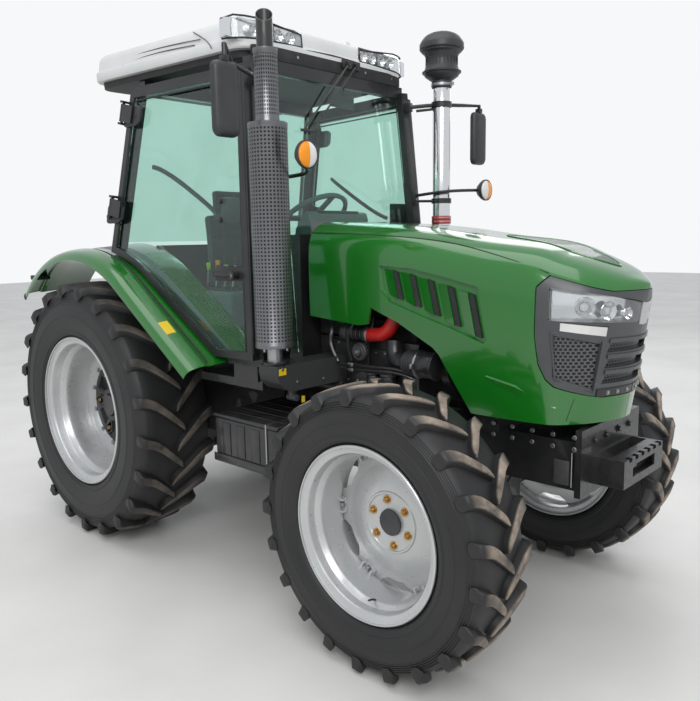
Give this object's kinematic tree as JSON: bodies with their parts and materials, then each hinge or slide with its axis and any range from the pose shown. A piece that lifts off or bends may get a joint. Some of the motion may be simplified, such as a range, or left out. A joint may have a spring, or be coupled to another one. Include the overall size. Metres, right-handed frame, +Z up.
{
  "type": "farm tractor",
  "caption": "Farm tractor with an enclosed cab, driven and steered front axle, opening hood and doors, rear three-point hitch and upright exhaust and intake pipes.",
  "frame": {"origin": "on the ground under the middle of the bounding box", "axes": "+X forwards, +Y to the left, +Z up"},
  "size_m": [3.909, 1.98, 2.843],
  "materials": {
    "green_paint": "gloss",
    "black_paint": "satin",
    "silver_paint": "satin",
    "cast_grey": "matte",
    "dark_grey_plastic": "matte",
    "roof_plastic": "satin",
    "interior_plastic": "matte",
    "tyre_rubber": "matte",
    "cab_glass": "clear, green tint",
    "lamp_lens": "clear",
    "seat_cloth": "woven",
    "chrome_pipe": "polished",
    "steel": "machined"
  },
  "bodies": {
    "chassis": {"air_cleaner": "dark_grey_plastic", "ballast_bracket": "black_paint", "battery_box": "dark_grey_plastic", "cab_body": "black_paint", "cab_frame": "black_paint", "cab_glass": "cab_glass", "cab_roof": "roof_plastic", "cab_steps": "black_paint", "dashboard": "interior_plastic", "drawbar": "black_paint", "engine_block": "cast_grey", "exhaust_shield": "black_paint", "exhaust_stack": "black_paint", "fenders": "green_paint", "front_axle_beam": "cast_grey", "front_frame": "black_paint", "fuel_tank": "dark_grey_plastic", "hitch_frame": "black_paint", "hood_hinge": "black_paint", "intake_stack": "chrome_pipe", "marker_lamps": "black_paint", "mirrors": "dark_grey_plastic", "radiator": "black_paint", "roof_lamps": "lamp_lens", "seat": "seat_cloth", "steering_wheel": "interior_plastic", "transmission": "cast_grey", "wiper": "black_paint"},
    "hood": {"hood_shell": "green_paint", "nose_bezel": "dark_grey_plastic", "head_lamps": "lamp_lens", "nose_grille": "black_paint"},
    "door_right": {"door_frame_right": "black_paint", "door_glass_right": "cab_glass"},
    "door_left": {"door_frame_left": "black_paint", "door_glass_left": "cab_glass"},
    "knuckle_right": {"knuckle_right": "cast_grey"},
    "knuckle_left": {"knuckle_left": "cast_grey"},
    "tie_rod": {"tie_rod": "steel"},
    "wheel_front_right": {"tyre_front_right": "tyre_rubber", "rim_front_right": "silver_paint"},
    "wheel_front_left": {"tyre_front_left": "tyre_rubber", "rim_front_left": "silver_paint"},
    "wheel_rear_right": {"tyre_rear_right": "tyre_rubber", "rim_rear_right": "silver_paint", "wheel_centre_right": "cast_grey"},
    "wheel_rear_left": {"tyre_rear_left": "tyre_rubber", "rim_rear_left": "silver_paint", "wheel_centre_left": "cast_grey"},
    "lift_arms": {"lift_arms": "black_paint"},
    "lift_rods": {"lift_rods": "black_paint"},
    "lower_links": {"lower_links": "black_paint"},
    "top_link": {"top_link": "black_paint"},
    "pto_shaft": {"pto_shaft": "steel"}
  },
  "joints": [
    {"name": "hood_lid", "type": "hinge", "parent": "chassis", "child": "hood", "pos_m": [0.4595, 0, 1.708], "axis": [0, -1, 0], "range_deg": [0, 45]},
    {"name": "door_right_hinge", "type": "hinge", "parent": "chassis", "child": "door_right", "pos_m": [-0.75538, -0.78151, 1.66157], "axis": [-0.2202, -0.079, -0.9722], "range_deg": [0, 70]},
    {"name": "door_left_hinge", "type": "hinge", "parent": "chassis", "child": "door_left", "pos_m": [-0.75538, 0.78151, 1.66157], "axis": [0.2202, -0.079, 0.9722], "range_deg": [0, 70]},
    {"name": "steer_right", "type": "hinge", "parent": "chassis", "child": "knuckle_right", "pos_m": [1.2245, -0.6, 0.582], "axis": [0, 0, 1], "range_deg": [-38, 38]},
    {"name": "steer_left", "type": "hinge", "parent": "chassis", "child": "knuckle_left", "pos_m": [1.2245, 0.6, 0.582], "axis": [0, 0, 1], "range_deg": [-38, 38]},
    {"name": "tie_rod_pivot", "type": "hinge", "parent": "knuckle_right", "child": "tie_rod", "pos_m": [1.0545, -0.6, 0.458], "axis": [0, 0, 1], "range_deg": [-38, 38]},
    {"name": "spin_front_right", "type": "hinge", "parent": "knuckle_right", "child": "wheel_front_right", "pos_m": [1.2245, -0.743, 0.582], "axis": [0, 1, 0], "continuous": true},
    {"name": "spin_rear_right", "type": "hinge", "parent": "chassis", "child": "wheel_rear_right", "pos_m": [-0.9705, -0.696, 0.745], "axis": [0, 1, 0], "continuous": true},
    {"name": "spin_front_left", "type": "hinge", "parent": "knuckle_left", "child": "wheel_front_left", "pos_m": [1.2245, 0.743, 0.582], "axis": [0, 1, 0], "continuous": true},
    {"name": "spin_rear_left", "type": "hinge", "parent": "chassis", "child": "wheel_rear_left", "pos_m": [-0.9705, 0.696, 0.745], "axis": [0, 1, 0], "continuous": true},
    {"name": "lift_arms_pivot", "type": "hinge", "parent": "chassis", "child": "lift_arms", "pos_m": [-1.1105, 0, 1.03], "axis": [0, 1, 0], "range_deg": [-20, 35]},
    {"name": "lift_rods_pivot", "type": "hinge", "parent": "lift_arms", "child": "lift_rods", "pos_m": [-1.4005, 0, 1.03], "axis": [0, 1, 0], "range_deg": [-35, 20]},
    {"name": "lower_links_pivot", "type": "hinge", "parent": "chassis", "child": "lower_links", "pos_m": [-1.1105, 0, 0.52], "axis": [0, 1, 0], "range_deg": [-20, 35]},
    {"name": "top_link_pivot", "type": "hinge", "parent": "chassis", "child": "top_link", "pos_m": [-1.2325, 0, 0.83], "axis": [0, 1, 0], "range_deg": [-30, 60]},
    {"name": "pto_spin", "type": "hinge", "parent": "chassis", "child": "pto_shaft", "pos_m": [-1.3005, 0, 0.64], "axis": [-1, 0, 0], "continuous": true}
  ],
  "couplings": [
    {"joint": "steer_left", "follows": "steer_right", "ratio": 1},
    {"joint": "tie_rod_pivot", "follows": "steer_right", "ratio": -1},
    {"joint": "lower_links_pivot", "follows": "lift_arms_pivot", "ratio": 1},
    {"joint": "lift_rods_pivot", "follows": "lift_arms_pivot", "ratio": -1}
  ]
}
